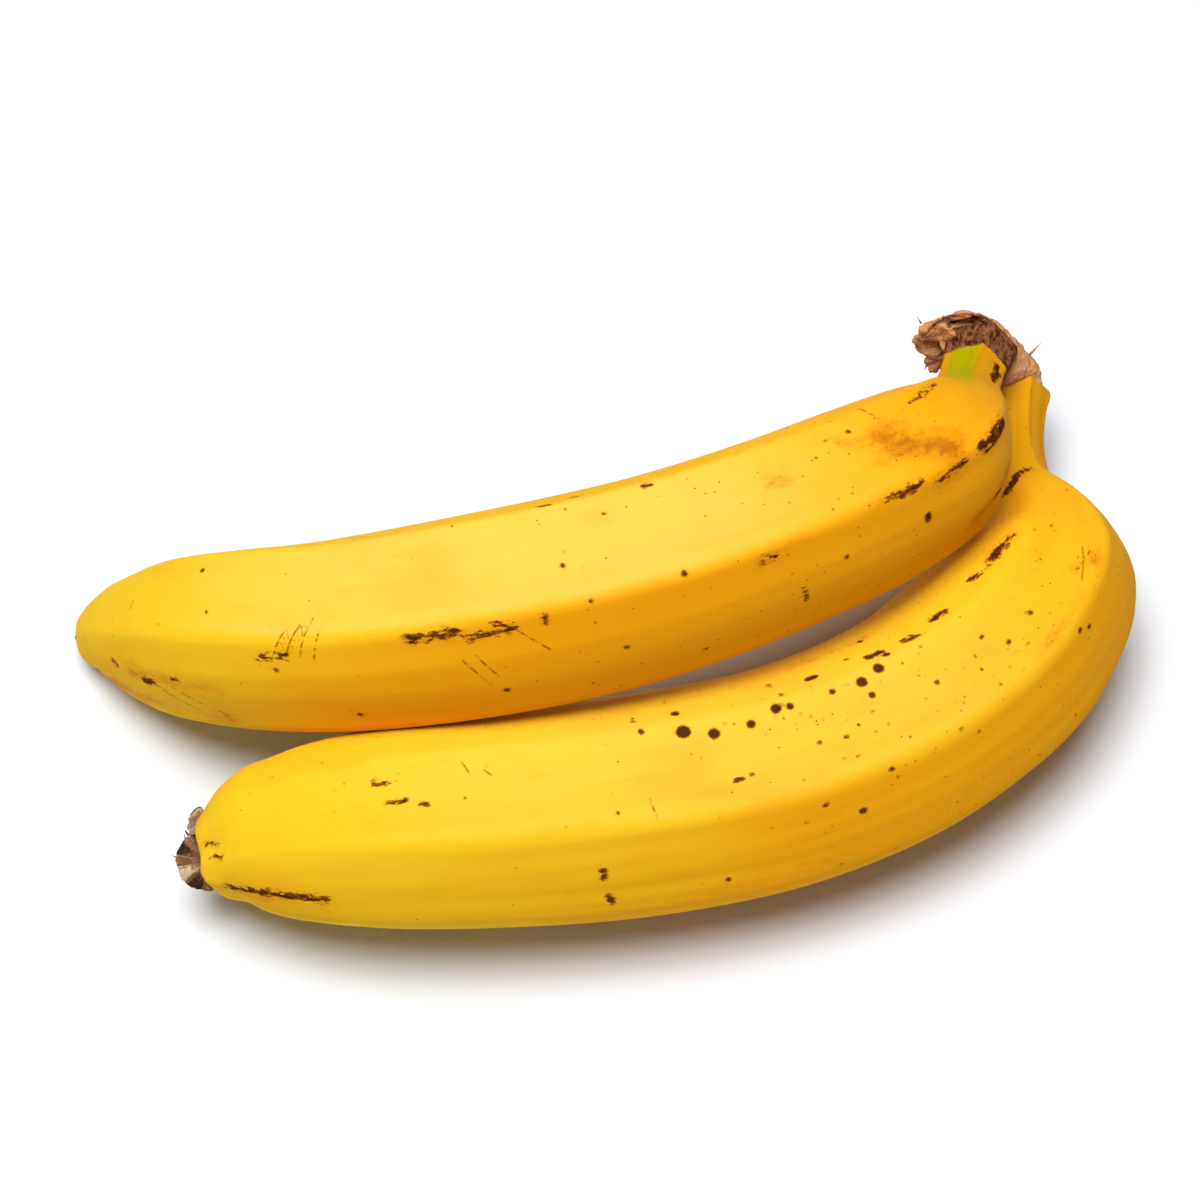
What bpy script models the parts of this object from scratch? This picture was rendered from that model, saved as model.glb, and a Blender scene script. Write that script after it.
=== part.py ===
"""A bunch of two ripe bananas, lying on a flat surface.

The lower banana lies on its side. The upper one is nested in its hollow side: it leans on it, arches over the
surface and touches down with its tip. Their stems run back side by side into the crown, the dry cushion that
was cut from the plant's stalk. Each fruit is lofted along its middle line through rings with five ridges.
Sizes are in millimetres and become metres as the meshes are made. +Z is up, the fruits run along X, and the
origin is on the surface, under the middle of the bunch.
"""

import math

import bmesh
import bpy
import numpy as np
from mathutils import Vector, noise

MM = 0.001
GAP = 0.3  # clearance between pieces that touch
ORIGIN = (-0.3, 39.9, -0.1)  # the point of the drawing below that becomes the origin

RING_SPACING = 4.5  # between one ring of a fruit and the next
SIDE_STEPS = 6  # edges between one ridge of a ring and the next
FLATNESS = 0.34  # of the sides between the ridges: 0 is round, 1 is flat
STEM_FLATNESS = 0.8
STEM_LENGTH = 26.0  # length over which the sides flatten into the stem's
TIP_DOME = 0.4  # rise of the low dome that closes each end
ROUND_TIP = 22.0  # length over which the ridges rise out of the round tip

# Middle lines, from the blossom tip to the cut stem: x, y, z and half the fruit's thickness there.
UPPER_LINE = [
    (-92.0, 45.6, 3.9, 4.4),
    (-87.2, 44.4, 7.2, 8.0),
    (-78.0, 40.2, 14.2, 12.0),
    (-64.0, 33.8, 25.4, 15.0),
    (-45.0, 28.6, 36.0, 16.2),
    (-20.0, 27.6, 45.0, 16.9),
    (5.0, 31.8, 48.5, 16.9),
    (30.0, 41.2, 49.0, 16.3),
    (48.0, 51.8, 46.0, 15.4),
    (59.0, 61.4, 41.5, 13.2),
    (63.6, 70.0, 37.0, 9.0),
    (65.6, 78.5, 32.4, 6.0),
    (68.6, 90.4, 27.4, 5.6),
]
LOWER_LINE = [
    (-66.8, -3.6, 14.6, 7.0),
    (-62.0, -2.2, 17.0, 10.8),
    (-52.0, -1.4, 19.0, 14.8),
    (-37.0, -0.2, 19.9, 17.8),
    (-15.0, 1.6, 20.0, 19.3),
    (10.0, 4.8, 20.0, 19.8),
    (35.0, 11.1, 20.0, 19.8),
    (57.0, 22.8, 20.0, 19.6),
    (72.0, 38.0, 20.0, 18.7),
    (78.4, 51.6, 19.8, 15.4),
    (77.8, 60.6, 19.2, 10.0),
    (75.4, 68.0, 18.2, 6.6),
    (74.6, 76.0, 17.2, 5.9),
    (76.4, 90.6, 16.0, 5.8),
]

# Where the ridges of a ring stand, in degrees from straight up towards the outer side of the bend, and how far
# they wind round on the stem.
UPPER_RIDGES = (-25, 36, 112, 185, 260)
UPPER_STEM_TWIST = 36
LOWER_RIDGES = (-10, 37, 88, 165, 260)
LOWER_STEM_TWIST = -15

# The dry flower remnant on each blossom tip: radius of its foot, and its turned profile against that radius.
UPPER_REMNANT = 3.6
LOWER_REMNANT = 6.2
REMNANT_PROFILE = [(0.0, 0.16), (0.4, 0.14), (0.58, 0.32), (0.8, 0.28), (0.95, 0.14), (1.0, 0.0), (0.0, 0.0)]

# The crown: its middle, its half length, half thickness and half height, which way its length runs, and
# roughly which way it looks, away from the stems.
CROWN_MIDDLE = (69.6, 93.4, 22.8)
CROWN_HALF_SIZE = (12.0, 4.6, 8.8)
CROWN_LENGTHWISE = (0.8, -0.16, -0.55)
CROWN_OUTWARD = (0.15, 0.98, -0.1)
CROWN_SQUARENESS = 0.7  # 1 is an ellipsoid, towards 0 is a box
LUMP_SPACING = 4.5
LUMP_HEIGHT = 1.1


def stations_along(line):
    """Points evenly spaced on a smooth curve through the rows of a middle line, each with its radius."""
    rows = np.array(line)
    gaps = np.linalg.norm(np.diff(rows[:, :3], axis=0), axis=1)
    row_places = np.concatenate([[0.0], np.cumsum(gaps)])
    slopes = np.gradient(rows, row_places, axis=0)
    count = round(row_places[-1] / RING_SPACING)
    stations = []
    for place in np.linspace(0.0, row_places[-1], count + 1):
        i = min(int(np.searchsorted(row_places, place, side="right")) - 1, len(gaps) - 1)
        t = (place - row_places[i]) / gaps[i]
        start = (1 + 2 * t) * (1 - t) ** 2 * rows[i] + t * (1 - t) ** 2 * gaps[i] * slopes[i]
        end = t**2 * (3 - 2 * t) * rows[i + 1] - t**2 * (1 - t) * gaps[i] * slopes[i + 1]
        stations.append(start + end)
    return np.array(stations)


def ring_outline(ridges, flatness):
    """The angles of a ring's corners and how far out each one is, against a mean of 1."""
    angles = []
    factors = []
    for ridge, following in zip(ridges, ridges[1:] + [ridges[0] + 360]):
        half = math.radians(following - ridge) / 2
        for step in range(SIDE_STEPS):
            turn = (2 * step / SIDE_STEPS - 1) * half
            angles.append(math.radians(ridge) + half + turn)
            factors.append(1 - flatness * (1 - math.cos(half) / math.cos(turn)))
    factors = np.array(factors)
    return angles, factors / factors.mean()


def loft(name, line, ridges, stem_twist, grow=0.0):
    """A closed solid through a ridged ring at each station, with a low dome over each end."""
    stations = stations_along(line)
    centres = stations[:, :3] - np.array(ORIGIN)
    tangents = np.gradient(centres, axis=0)
    tangents /= np.linalg.norm(tangents, axis=1)[:, None]
    centres[0] -= tangents[0] * grow
    centres[-1] += tangents[-1] * grow
    mesh = bmesh.new()
    rings = []
    for number, (centre, tangent) in enumerate(zip(centres, tangents)):
        body = min(1.0, number * RING_SPACING / ROUND_TIP)
        stem = max(0.0, 1.0 - (len(stations) - 1 - number) * RING_SPACING / STEM_LENGTH)
        flatness = FLATNESS * body + (STEM_FLATNESS - FLATNESS) * stem
        angles, factors = ring_outline([ridge + stem_twist * stem for ridge in ridges], flatness)
        outer = np.cross(tangent, (0.0, 0.0, 1.0))
        outer /= np.linalg.norm(outer)
        upper = np.cross(outer, tangent)
        ring = []
        for angle, factor in zip(angles, factors):
            radius = stations[number, 3] * factor + grow
            corner = centre + radius * (math.cos(angle) * upper + math.sin(angle) * outer)
            ring.append(mesh.verts.new(corner * MM))
        rings.append(ring)
    for ring, following in zip(rings, rings[1:]):
        for i, corner in enumerate(ring):
            mesh.faces.new((ring[i - 1], corner, following[i], following[i - 1]))
    for ring, centre, outward in ((rings[0], centres[0], -tangents[0]), (rings[-1], centres[-1], tangents[-1])):
        pole = mesh.verts.new((centre + outward * TIP_DOME) * MM)
        for i, corner in enumerate(ring):
            mesh.faces.new((ring[i - 1], corner, pole))
    bmesh.ops.recalc_face_normals(mesh, faces=mesh.faces)
    return finish(name, mesh)


def remnant(name, line, foot_radius):
    """A turned stub with a hollow end, standing off the blossom tip by the clearance."""
    mesh = bmesh.new()
    corners = [mesh.verts.new((foot_radius * x * MM, 0.0, foot_radius * z * MM)) for x, z in REMNANT_PROFILE]
    for corner, following in zip(corners, corners[1:]):
        mesh.edges.new((corner, following))
    piece = finish(name, mesh)
    turning = piece.modifiers.new("turn", "SCREW")
    turning.steps = 24
    turning.render_steps = 24
    turning.use_merge_vertices = True
    turning.merge_threshold = 0.00005
    tip, inner = Vector(line[0][:3]), Vector(line[1][:3])
    outward = (tip - inner).normalized()
    piece.rotation_euler = outward.to_track_quat("Z", "Y").to_euler()
    piece.location = (tip - Vector(ORIGIN) + outward * (TIP_DOME + GAP)) * MM
    return piece


def crown(cutters):
    """The lumpy cushion that both stems end in, with a socket for each."""
    lengthwise = Vector(CROWN_LENGTHWISE).normalized()
    upward = lengthwise.cross(Vector(CROWN_OUTWARD)).normalized()
    outward = upward.cross(lengthwise)
    mesh = bmesh.new()
    bmesh.ops.create_icosphere(mesh, subdivisions=4, radius=1.0)
    for corner in mesh.verts:
        squared = [math.copysign(abs(c) ** CROWN_SQUARENESS, c) for c in corner.co]
        along, out, up = (c * half for c, half in zip(squared, CROWN_HALF_SIZE))
        place = Vector(CROWN_MIDDLE) + lengthwise * along + outward * out + upward * up
        lump = noise.noise(place / LUMP_SPACING) * LUMP_HEIGHT
        corner.co = (place + corner.co * lump - Vector(ORIGIN)) * MM
    bmesh.ops.recalc_face_normals(mesh, faces=mesh.faces)
    piece = finish("crown", mesh)
    for cutter in cutters:
        cut = piece.modifiers.new(cutter.name, "BOOLEAN")
        cut.operation = "DIFFERENCE"
        cut.object = cutter
    return piece


def finish(name, mesh):
    """The bmesh as a named, smooth-shaded object."""
    data = bpy.data.meshes.new(name)
    mesh.to_mesh(data)
    mesh.free()
    data.shade_smooth()
    return bpy.data.objects.new(name, data)


def material(name, colour, roughness):
    made = bpy.data.materials.new(name)
    made.use_nodes = True
    shader = made.node_tree.nodes["Principled BSDF"]
    shader.inputs["Base Color"].default_value = (*colour, 1.0)
    shader.inputs["Roughness"].default_value = roughness
    shader.inputs["Metallic"].default_value = 0.0
    return made


def main():
    for old in list(bpy.data.objects):
        bpy.data.objects.remove(old)
    bunch = bpy.data.collections.new("banana_bunch")
    bpy.context.scene.collection.children.link(bunch)
    cutting = bpy.data.collections.new("cutters")
    bpy.context.scene.collection.children.link(cutting)
    peel = material("ripe_peel", (0.86, 0.56, 0.03), 0.45)
    dry = material("dry_crown", (0.27, 0.12, 0.05), 0.85)
    remains = material("dry_flower", (0.05, 0.035, 0.025), 0.9)
    cutters = []
    for side, line, ridges, twist, foot in (
        ("upper", UPPER_LINE, UPPER_RIDGES, UPPER_STEM_TWIST, UPPER_REMNANT),
        ("lower", LOWER_LINE, LOWER_RIDGES, LOWER_STEM_TWIST, LOWER_REMNANT),
    ):
        fruit = loft(side + "_banana", line, ridges, twist)
        fruit.data.materials.append(peel)
        bunch.objects.link(fruit)
        tip = remnant(side + "_blossom_end", line, foot)
        tip.data.materials.append(remains)
        bunch.objects.link(tip)
        cutter = loft(side + "_socket", line, ridges, twist, grow=GAP)
        cutter.hide_render = True
        cutter.display_type = "WIRE"
        cutting.objects.link(cutter)
        cutters.append(cutter)
    cushion = crown(cutters)
    cushion.data.materials.append(dry)
    bunch.objects.link(cushion)


main()
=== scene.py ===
"""The looks of a bunch of two ripe bananas, lying on a plain pale surface.

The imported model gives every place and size. Each banana's solid is read back as rings of corners, from
the blossom tip to the stem, and a fine skin is stretched over them. The skin is raised into soft swellings,
ribs and scabs, and it carries values that say where the peel is bruised, speckled, green or dry. The crown
and the withered flowers grow out of copies of their solids. Sizes are in millimetres until the meshes are
made.
"""

import math
import random

import bmesh
import bpy
import numpy as np
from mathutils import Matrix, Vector, noise


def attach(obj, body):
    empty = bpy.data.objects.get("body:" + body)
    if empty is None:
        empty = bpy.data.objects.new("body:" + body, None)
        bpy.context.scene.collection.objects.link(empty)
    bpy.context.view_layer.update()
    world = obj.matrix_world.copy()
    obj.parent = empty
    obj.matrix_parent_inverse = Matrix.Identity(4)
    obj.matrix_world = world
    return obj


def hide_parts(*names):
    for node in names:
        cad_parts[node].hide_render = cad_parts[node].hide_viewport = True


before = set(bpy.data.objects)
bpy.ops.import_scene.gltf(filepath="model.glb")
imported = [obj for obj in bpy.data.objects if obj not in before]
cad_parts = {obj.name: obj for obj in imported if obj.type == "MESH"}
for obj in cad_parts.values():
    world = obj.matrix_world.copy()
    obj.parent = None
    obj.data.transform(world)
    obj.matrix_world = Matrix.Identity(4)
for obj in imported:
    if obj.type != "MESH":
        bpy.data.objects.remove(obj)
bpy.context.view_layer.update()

bl_info = {
    "name": "Banana Bunch",
    "version": (1, 0, 0),
    "blender": (4, 5, 0),
    "location": "View3D > Sidebar > Bananas",
    "description": "Finishes a bunch of bananas and sets it on a lit surface",
    "category": "Object",
}

MM = 0.001
WELD = 0.00001  # metres between corners that are one corner
SEAM = 0.000001  # the same on a skin's fine corners
SIDES = ("upper", "lower")

RING_CORNERS = 30
RINGS_TO_A_GAP = 8  # fine rings to each gap between two rings of the solid
CORNERS_TO_A_GAP = 7
FAR = 6.0  # millimetres: beyond this a mark has no hold on the peel around it
LEAST_HEIGHT = 0.03  # millimetres that the skin stays above the surface it lies on

# How the two fruits differ. Places along a fruit are millimetres from its blossom tip along its middle line.
SCATTERED = {"upper": 34, "lower": 150}  # small round spots
DRY_FROM = {"upper": 204.0, "lower": 210.5}  # where the dry tissue of the crown takes over
DENT = {"upper": 0.6, "lower": 1.4}  # millimetres that the tip is sunk around the flower
ORANGE = {"upper": 0.6, "lower": 0.35}  # how far the peel turns orange towards the stem
# A painted highlight: the top faces of each fruit are painted paler, where the light falls.
TOP_HIGHLIGHT = {"upper": 0.85, "lower": 0.5}  # how pale the top is
TIP_SPAN = (14, 3)  # where the fruit narrows into its tip
STEM_SPAN = (176, 192)  # where the fruit narrows into its stem
SPOT_ROUGHNESS = 0.05  # how ragged a round spot's edge is
SPOT_RADIUS = (0.12, 0.36)  # millimetres, the least and the most of the scattered ones
SPOTTED_MIDDLE, SPOTTED_SPREAD = (118, 0), (24, 32)  # along and around the fruit: where they gather

# Noise that shapes the skin: size in millimetres, how many times longer it is along the fruit than across,
# and a seed. Then come the heights that it and other relief are raised by, in millimetres.
SWELLINGS = (24, 2.0, 5)
DIMPLES = (9, 2.5, 2)
RIBS = (2.6, 12.0, 5)
WRINKLES = (3.0, 5.0, 6)
TORN_EDGE = (5, 1.0, 3)
DIMPLE_SHARE = 0.25  # of the swellings' height
RIB_HEIGHT, STEM_RIB_HEIGHT = 0.08, 0.16
WRINKLE_HEIGHT = 0.3
SCAB_HEIGHT = 0.1
DRY_HEIGHT = 0.45  # of the edge of the crown's dry tissue
TORN_REACH = 2.2  # how far that edge wanders along the stem
WORN_DEPTH = 1.7  # withered away on the upper side of the lower tip
STEM_DRAWN = 3.5  # drawn out at the upper stem's end

# Marks on the peel, each a stroke over the skin. Each end is a place along the fruit, and degrees from
# straight up towards the outer side of the bend. Then come half the stroke's width in millimetres, and how
# ragged its edge is.
SCABS = {
    "upper": [
        (55, 47, 60, 45, 0.35, 1.0),
        (79.5, 41, 86, 39, 0.65, 1.0),
        (87.5, 45, 94, 44, 0.35, 1.0),
        (91.5, 41, 92.5, 39, 0.4, 1.0),
        (98.5, 39, 98.5, 44, 0.4, 0.4),
        (131, 42, 133, 42, 0.5, 1.0),
        (152, 36, 153.5, 37, 0.3, 1.0),
        (154.5, 38, 158, 37, 0.5, 1.0),
        (162, 41, 167, 38, 0.4, 1.2),
        (171, 37, 178, 38, 0.9, 1.0),
        (172, 43, 173, 43, 0.4, 1.0),
        (197, 41, 202, 45, 0.7, 0.7),
        (166, -16, 174, -20, 0.25, 0.8),
        (174, 85, 175, 85, 0.4, 1.0),
        (36, 68, 37, 68, 0.5, 1.0),
        (28, 75, 30, 75, 0.7, 1.0),
        (19, 62, 20, 64, 0.4, 1.0),
        (100.5, -28, 102.5, -27, 0.3, 0.3),
        (106, -33, 107.2, -32, 0.3, 0.3),
        (118, -24, 119.5, -23, 0.35, 0.3),
        (136.5, 73, 137, 82, 0.3, 0.6),
        (158.5, 60, 158.6, 64, 0.5, 0.3),
    ],
    "lower": [
        (33, -5, 34.5, -3, 0.35, 1.0),
        (34.5, 8, 37.5, 8, 0.25, 0.6),
        (40, 11, 41, 11, 0.25, 0.8),
        (6, 74, 12, 75, 0.6, 1.0),
        (12, 74, 16, 74, 0.6, 1.2),
        (16, 74, 23, 76, 0.7, 1.2),
        (5.5, 30, 7, 34, 0.25, 1.0),
        (4.5, 8, 6.5, 20, 0.25, 1.0),
        (109, -29, 110.5, -29, 0.6, 0.2),
        (121, -27, 123.5, -26, 0.65, 0.5),
        (76.5, -30, 76.5, -26, 0.3, 0.6),
        (91.5, 19, 92.5, 19, 0.4, 0.4),
        (68.5, 60, 68.6, 66, 0.55, 0.5),
        (69, 80, 69.6, 84, 0.55, 0.5),
        (128.5, -25, 130.5, -23, 0.55, 0.5),
        (131, -24, 131.6, -23, 0.5, 0.3),
        (136, -27, 139, -27, 0.7, 0.6),
        (148.5, -32, 150.5, -31, 0.6, 0.7),
        (152.5, -30, 153.5, -30, 0.4, 0.8),
        (155.5, -31, 160, -30, 0.9, 0.9),
        (160, -30, 163, -29, 0.5, 1.0),
        (184.5, -62, 184, -40, 0.6, 1.0),
        (184.5, -40, 186, -24, 0.8, 1.0),
        (186.5, -24, 187.5, 4, 0.45, 1.0),
    ],
}
# Round dark spots: place along the fruit, degrees around it and radius.
SPOTS = {
    "upper": [
        (102.5, 14, 0.42),
        (119.5, 35, 0.5),
        (109, 72, 0.45),
        (90.5, 88, 0.55),
        (120.5, 94, 0.4),
        (144, 62, 0.45),
        (152.5, -14, 0.45),
        (67, 95, 0.55),
        (57.5, 55, 0.45),
        (41, -12, 0.5),
    ],
    "lower": [
        (84.5, -13, 1.25),
        (89.5, -9, 1.0),
        (84, -27, 0.8),
        (96, -10, 0.8),
        (77.5, -17, 0.55),
        (101, -15, 0.95),
        (103.5, -14, 0.65),
        (103, -23, 0.55),
        (102, -35, 0.5),
        (111.5, -14, 0.6),
        (117, -13, 1.0),
        (121, -16, 0.95),
        (117.5, -4, 0.6),
        (124, -22, 0.75),
        (123, -45, 0.6),
        (117.5, -33, 0.5),
        (106, 10, 0.4),
        (110.5, 12, 0.4),
        (94, 17, 0.4),
        (104, 45, 0.45),
        (109.5, 57, 0.7),
        (115.3, 38, 0.5),
        (88, 80, 0.5),
        (143, 12, 0.5),
        (149.5, 9, 0.45),
        (140, 0, 0.45),
        (128.5, 6, 0.45),
        (155.5, 45, 0.5),
        (153.5, 40, 0.5),
    ],
}
# Soft bruises, as strokes: both ends and half the width.
BRUISES = {
    "upper": [
        (151, -6, 156, -2, 2.2),
        (157, 3, 166, 25, 4.6),
        (137, -1, 139.5, 1, 1.6),
        (160, 42, 169, 37, 2.2),
        (131, 42, 138, 38, 1.2),
        (79, 41, 93, 42, 1.0),
        (151, 37, 159, 38, 1.6),
        (25, 70, 45, 74, 2.2),
        (12, 95, 42, 105, 2.8),
        (98.5, 41, 98.6, 43, 1.0),
        (171, 38, 179, 38, 2.2),
        (170, 90, 178, 80, 2.0),
    ],
    "lower": [
        (146, 28, 160, 30, 0.9),
        (162, 16, 165, 27, 1.5),
        (161, 33, 161.5, 34, 1.0),
        (4, 80, 24, 82, 1.5),
        (98, 80, 103, 84, 1.2),
        (155, -32, 163, -30, 2.2),
        (136, -27, 139, -27, 1.5),
        (184, -60, 187, 0, 1.8),
        (66, 30, 69, 31, 0.7),
        (108, -47, 124, -46, 1.5),
    ],
}
# Hairline scratches: both ends.
SCRATCHES = {
    "upper": [
        (58.0, 44, 60.4, 31),
        (60.0, 45, 62.8, 28),
        (62.2, 46, 65.0, 24),
        (64.4, 47, 66.4, 30),
        (94.5, 46, 98.3, 62),
        (88, 58, 90, 74),
        (86, 60, 88.5, 80),
        (157, -27, 158.5, -15),
        (26, 12, 26, 18),
        (30, 74, 37, 98),
        (34, 74, 43, 100),
    ],
    "lower": [
        (77, 21, 77.6, 31),
        (162, 18, 166, 22),
        (161, 24, 166, 17),
        (47, -11, 48, -5),
        (50.5, -6, 51.5, -3),
    ],
}

# The ridges between the flat sides of each fruit, in degrees round from straight up.
RIDGES = {"upper": (-25, 36, 112, 185, 260), "lower": (-10, 37, 88, 165, 260)}
RIDGE_WIDTH = 8  # degrees

# Noise that colours and roughens the peel: size in millimetres, how many times longer it is along the fruit
# than across, detail and roughness.
PEEL_NOISES = {
    "clouds": (16, 2.0, 3.0, 0.55),
    "blotches": (5, 1.6, 3.0, 0.55),
    "fibres": (0.7, 40.0, 2.0, 0.55),  # a fibre is about 0.1 mm wide, drawn wider so that it shows
    "grit": (0.9, 1.6, 5.0, 0.75),
    "frayed": (0.8, 2.4, 6.0, 0.75),
    "pores": (0.5, 1.0, 2.0, 0.55),  # a pore is about 0.05 mm, drawn coarser so that it shows
}
SPECK_SPACING = 1.6  # millimetres between the places where a speck may be
SPECK_DARKNESS = 0.85

PEEL_AMBER = "#dc9208"
STEM_TAN = "#c58410"
BRUISE_BROWN = "#7c3c10"
SCAB_RUST = "#8a4208"
SCAB_BLACK = "#2c1107"
DRY_BROWN = "#8c5636"
DRY_CREVICE = "#3c1e10"
WAX_TINT = "#fff3a0"

# Sheets of dry tissue torn from the crown: four corners, going round, and a thickness, in millimetres.
CROWN_SHEETS = [
    (((58.2, 56.0, 31.4), (62.0, 56.4, 32.2), (63.4, 55.0, 20.0), (60.8, 54.8, 19.0)), 1.1),
    (((61.6, 54.6, 32.6), (63.6, 52.6, 33.4), (63.6, 52.0, 28.0), (62.6, 53.4, 26.6)), 0.8),
    (((75.0, 54.4, 24.6), (77.4, 54.8, 24.4), (81.2, 53.6, 15.4), (77.0, 53.0, 17.0)), 1.6),
]
# Loose fibres of the crown: foot, end and radius at the foot, in millimetres.
CROWN_FIBRES = [
    ((78.6, 55.0, 21.0), (81.0, 55.4, 25.6), 0.35),
    ((58.6, 56.0, 31.0), (57.8, 56.6, 32.4), 0.2),
    ((60.6, 54.8, 19.4), (60.2, 54.6, 17.8), 0.2),
]
# Half of the section of a withered flower: share of its radius outwards, and of its radius high.
FLOWER_SECTION = [
    (1.0, -0.06),
    (1.03, 0.06),
    (0.97, 0.2),
    (0.9, 0.34),
    (0.82, 0.36),
    (0.74, 0.22),
    (0.66, 0.07),
    (0.5, 0.02),
    (0.3, 0.05),
    (0.15, 0.15),
    (0.0, 0.18),
]
# The papery fringe that stands up at the lower flower's edge: its four corners in millimetres.
FLOWER_SHEET = ((-69.6, -38.0, 21.0), (-67.4, -37.6, 19.4), (-68.2, -40.0, 15.0), (-70.2, -40.2, 14.6))
FLOWER_SHEET_THICKNESS = 0.4
CROWN_OCTAVES = ((4.5, 1.0), (1.5, 0.5), (0.6, 0.25))  # sizes and heights of its folds, in millimetres
FLOWER_OCTAVES = ((1.5, 0.35), (0.6, 0.25))
CROWN_GRAIN, FLOWER_GRAIN = 1.6, 1.1  # millimetres across the fibres of the dry tissue
FLOWER_SHARE = 0.84  # of the solid blossom end's radius
FLOWER_FLATNESS = 0.6
FLOWER_SUNK = 0.16  # share of its radius that it sits down in the tip
SPIN_STEPS = 90
SHEET_CELLS = 14
STRAY_STRANDS = 4  # on the upper flower

VIEW_CENTRE = (0.3, 1.4, 25.1)  # millimetres
LENS, SENSOR = 100, 36
SURFACE_REACH = 4.0  # metres from the middle to each edge
# The soft lamps: place and diameter in metres, share of the key light's power and colour.
LAMPS = {
    "key": ((-0.15, -0.02, 1.35), 0.92, 1.0, "#ffffff"),
    "fill": ((-0.4, -1.0, 0.6), 1.4, 0.06, "#fff4e6"),
}
STUDIO_GLOW = 0.08

# Settings that many nodes share.
SMOOTH = {"interpolation_type": "SMOOTHSTEP"}
TIMES = {"operation": "MULTIPLY"}
TIMES_PLUS = {"operation": "MULTIPLY_ADD"}


def linear(hex_colour):
    """An sRGB hex colour as the linear red, green, blue and alpha that Blender's sockets take."""
    channels = [int(hex_colour[i : i + 2], 16) / 255 for i in (1, 3, 5)]
    return (*(c / 12.92 if c <= 0.04045 else ((c + 0.055) / 1.055) ** 2.4 for c in channels), 1.0)


def colour_property(name, description, hex_colour):
    """A colour that the user can change."""
    return bpy.props.FloatVectorProperty(
        name=name,
        description=description,
        default=linear(hex_colour),
        size=4,
        min=0.0,
        max=1.0,
        subtype="COLOR",
    )


class BananaFruitLook(bpy.types.PropertyGroup):
    """How the bananas look"""

    undulation: bpy.props.FloatProperty(
        name="Undulation",
        description="Height of the soft swellings of the skin, in millimetres",
        default=0.3,
        min=0.0,
        max=2.0,
    )
    ridges: bpy.props.FloatProperty(
        name="Ridges",
        description="Height of the lines between the flat sides, in millimetres",
        default=0.28,
        min=0.0,
        max=2.0,
    )
    speckling: bpy.props.FloatProperty(
        name="Speckling",
        description="Share of the small spots that gather on the stem half",
        default=0.75,
        min=0.0,
        max=1.0,
        subtype="FACTOR",
    )
    lemon: colour_property("Lemon", "Peel of the blossom half", "#e0b41e")
    # Laid over the peel towards the stem, as its ripening, and over the faces turned down, as painted shade.
    orange: colour_property("Orange", "Peel towards the stem and on the under sides", "#e39a10")
    # Painted highlight: the paler colour laid over the top faces of the peel.
    painted_highlight: colour_property("Bloom", "Peel on top, where its wax is palest", "#e3b950")
    green: colour_property("Green", "Peel of the stem that isn't ripe yet", "#9c9a00")
    bruise: colour_property("Bruise", "Peel that has been rubbed or pressed", "#c86a0c")
    scab: colour_property("Scab", "Specks and the thin part of scabs", "#6a2f0a")


class BananaDryLook(bpy.types.PropertyGroup):
    """How the crown and the withered flowers look"""

    crown_grain: bpy.props.FloatProperty(
        name="Crown grain",
        description="Finest detail in the shape of the crown",
        default=0.0003,
        min=0.0002,
        unit="LENGTH",
    )
    # Laid by relief: the crevice colours as painted shade in folds and hollows, the rim colours as painted
    # highlights.
    crown_crevice: colour_property("Crown crevices", "Dead tissue down in the folds of the crown", "#5f3822")
    crown_middle: colour_property("Crown", "Dead tissue of the crown", "#c48857")
    crown_pale: colour_property("Crown rims", "Dead tissue that stands out on the crown", "#c48f66")
    strands: bpy.props.IntProperty(
        name="Strands", description="Number of loose fibres round the lower flower", default=16, min=0
    )
    # Laid by relief like the crown's: painted shade in the hollow and a painted highlight on the rim.
    flower_crevice: colour_property("Flower crevices", "Dead tissue down in the flowers", "#1c0f08")
    flower_middle: colour_property("Flower", "Dead tissue of the flowers", "#80563a")
    flower_pale: colour_property("Flower rims", "Dead tissue that stands out on the flowers", "#dcbd9d")


class BananaStageLook(bpy.types.PropertyGroup):
    """How the bunch is lit and seen"""

    camera_elevation: bpy.props.FloatProperty(
        name="Camera elevation",
        description="How far above the surface the camera looks down from",
        default=math.radians(60),
        subtype="ANGLE",
    )
    camera_distance: bpy.props.FloatProperty(
        name="Camera distance",
        description="From the camera to the middle of the view",
        default=0.5833,
        unit="LENGTH",
    )
    key_power: bpy.props.FloatProperty(
        name="Key light", description="Power of the soft light overhead", default=28.8, unit="POWER"
    )
    surface: colour_property("Surface", "Paper that the bunch lies on", "#d9dce1")


def add_node(tree, kind, inputs=None, output=0, **settings):
    """Adds a node of that kind, sets or links its inputs by number or name, and gives one output."""
    made = tree.nodes.new("ShaderNode" + kind)
    for name, value in settings.items():
        setattr(made, name, value)
    for name, value in (inputs or {}).items():
        if isinstance(value, bpy.types.NodeSocket):
            tree.links.new(value, made.inputs[name])
        else:
            made.inputs[name].default_value = value
    return made.outputs[output]


def new_material(name):
    """An empty material of that name, its node tree and its shader."""
    made = bpy.data.materials.new(name)
    made.use_nodes = True
    return made, made.node_tree, made.node_tree.nodes["Principled BSDF"]


def layered(tree, colour, layers):
    """A colour with others laid over it in turn, each by its own amount."""
    for amount, over in layers:
        colour = add_node(tree, "Mix", {0: amount, 6: colour, 7: over}, 2, data_type="RGBA")
    return colour


def weighed(tree, start, parts):
    """A number with other values added to it, each times its own weight."""
    total = start
    for value, weight in parts:
        total = add_node(tree, "Math", {0: value, 1: weight, 2: total}, **TIMES_PLUS)
    return total


# --- The fruit ---------------------------------------------------------------------------------------------


def merged(solid):
    """A bmesh copy of the solid, its split corners joined again."""
    mesh = bmesh.new()
    mesh.from_mesh(solid.data)
    bmesh.ops.remove_doubles(mesh, verts=mesh.verts, dist=WELD)
    return mesh


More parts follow.
